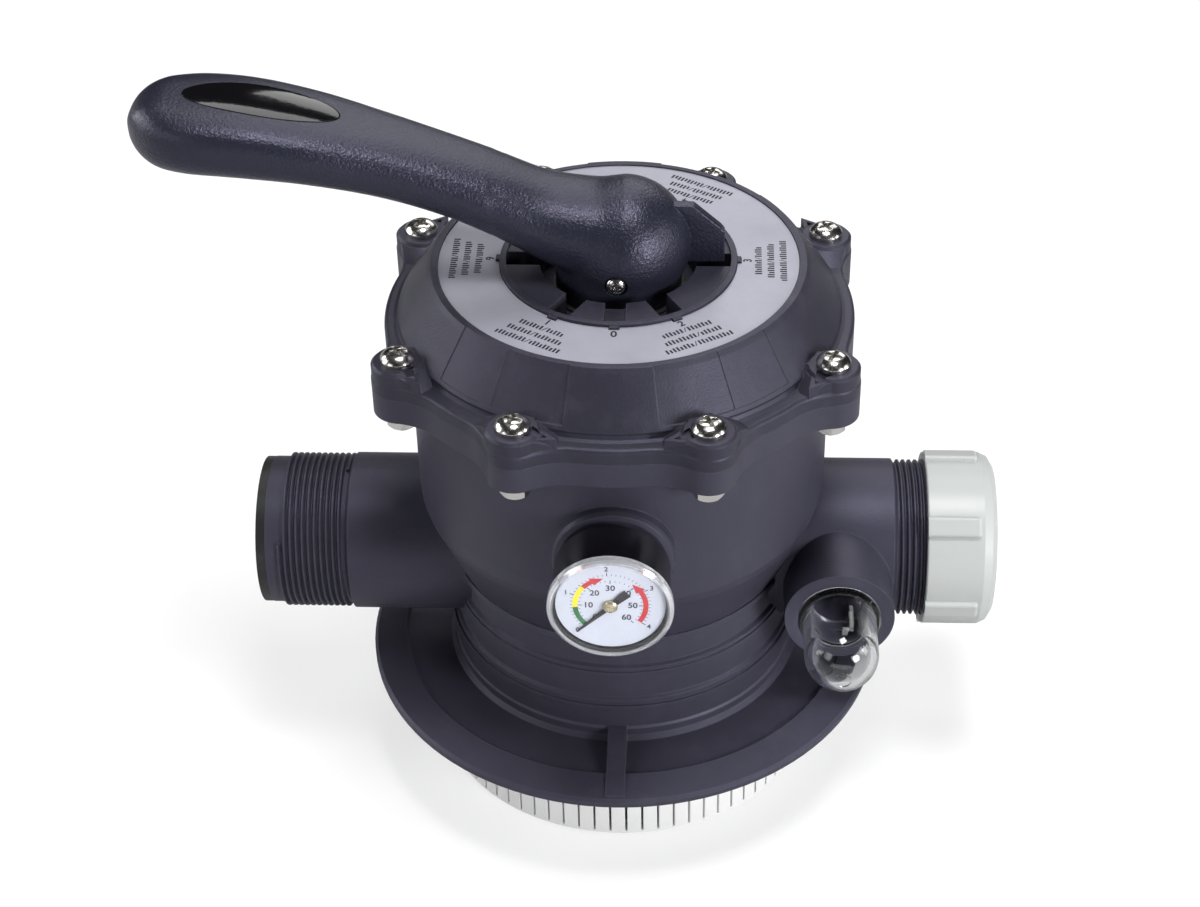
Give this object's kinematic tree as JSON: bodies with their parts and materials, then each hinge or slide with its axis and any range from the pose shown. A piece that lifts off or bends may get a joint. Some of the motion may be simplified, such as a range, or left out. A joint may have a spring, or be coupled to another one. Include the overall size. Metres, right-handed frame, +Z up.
{
  "type": "multiport selector valve",
  "caption": "Top-mounted multiport selector valve for a filter tank, with a lever handle, threaded side ports, pressure gauge, sight glass, screw cap and slotted strainer.",
  "frame": {"origin": "valve axis at the underside of the tank flange", "axes": "+Z up along the valve axis, -Y towards the pressure gauge, -X along the open threaded port and the handle"},
  "size_m": [0.3092, 0.244, 0.2818],
  "materials": {
    "body_plastic": "moulded, fine grain, satin",
    "cover_plastic": "moulded, fine grain, satin",
    "handle_plastic": "moulded, fine spark texture, semi-gloss",
    "label_film": "silver printed film, satin",
    "stainless": "polished stainless",
    "seal_rubber": "smooth black rubber",
    "strainer_plastic": "moulded white, satin",
    "cap_plastic": "moulded off-white, low gloss",
    "gauge_black": "glossy black",
    "badge_gloss": "glossy black",
    "brass": "machined",
    "dial_white": "printed white enamel",
    "pointer_black": "satin black",
    "clear_lens": "clear moulded plastic",
    "washer_plastic": "natural acetal",
    "rotor_plastic": "moulded black"
  },
  "bodies": {
    "housing": {"valve_body": "body_plastic", "top_cover": "cover_plastic", "position_label": "label_film", "cover_screws": "stainless", "cover_nuts": "stainless", "cover_o_ring": "seal_rubber", "tank_flange_o_ring": "seal_rubber", "riser_pipe_o_ring": "seal_rubber", "spider_gasket": "seal_rubber", "left_port_gasket": "seal_rubber", "rear_port_gasket": "seal_rubber", "strainer_basket": "strainer_plastic", "gauge_case": "gauge_black", "gauge_stem": "brass", "gauge_bourdon_tube": "brass", "gauge_movement_frame": "brass", "gauge_dial": "dial_white", "gauge_lens": "clear_lens", "sight_glass": "clear_lens", "sight_glass_seal": "seal_rubber"},
    "turning_stage": {"thrust_washer": "washer_plastic", "spring_washer": "stainless", "rotor_spring": "stainless"},
    "diverter": {"rotor": "rotor_plastic", "shaft_o_rings": "seal_rubber"},
    "lever": {"handle": "handle_plastic", "pivot_screw": "stainless", "handle_badge": "badge_gloss"},
    "gauge_needle": {"gauge_pointer": "pointer_black", "gauge_pinion": "brass"},
    "gauge_quadrant": {"gauge_sector": "brass"},
    "cap_seal": {"drain_cap_gasket": "seal_rubber"},
    "cap": {"drain_cap": "cap_plastic"}
  },
  "joints": [
    {"name": "rotor_turn", "type": "hinge", "parent": "housing", "child": "turning_stage", "pos_m": [0, 0, 0], "axis": [0, 0, 1], "continuous": true},
    {"name": "rotor_lift", "type": "slide", "parent": "turning_stage", "child": "diverter", "axis": [0, 0, 1], "range_m": [0, 0.0038], "deforming": ["rotor_spring"]},
    {"name": "handle_press", "type": "hinge", "parent": "diverter", "child": "lever", "pos_m": [0, 0, 0.1795], "axis": [0, -1, 0], "range_deg": [0, 12], "stiffness_Nm_per_rad": 20, "springref_deg": -11.46},
    {"name": "gauge_pointer_turn", "type": "hinge", "parent": "housing", "child": "gauge_needle", "pos_m": [0, -0.102, 0.103], "axis": [0, 1, 0], "range_deg": [0, 270], "stiffness_Nm_per_rad": 0.002, "springref_deg": -28.65},
    {"name": "gauge_sector_swing", "type": "hinge", "parent": "housing", "child": "gauge_quadrant", "pos_m": [0, -0.093, 0.118], "axis": [0, 1, 0], "range_deg": [-30.5, 0.5]},
    {"name": "cap_travel", "type": "slide", "parent": "housing", "child": "cap_seal", "axis": [1, 0, 0], "range_m": [0, 0.02319]},
    {"name": "cap_turn", "type": "hinge", "parent": "cap_seal", "child": "cap", "pos_m": [0.12, 0, 0.0497], "axis": [1, 0, 0], "range_deg": [0, 3600]}
  ],
  "couplings": [
    {"joint": "rotor_lift", "follows": "handle_press", "m_per_rad": 0.018},
    {"joint": "gauge_sector_swing", "follows": "gauge_pointer_turn", "ratio": -0.11111},
    {"joint": "cap_travel", "follows": "cap_turn", "m_per_rad": 0.00036749}
  ]
}
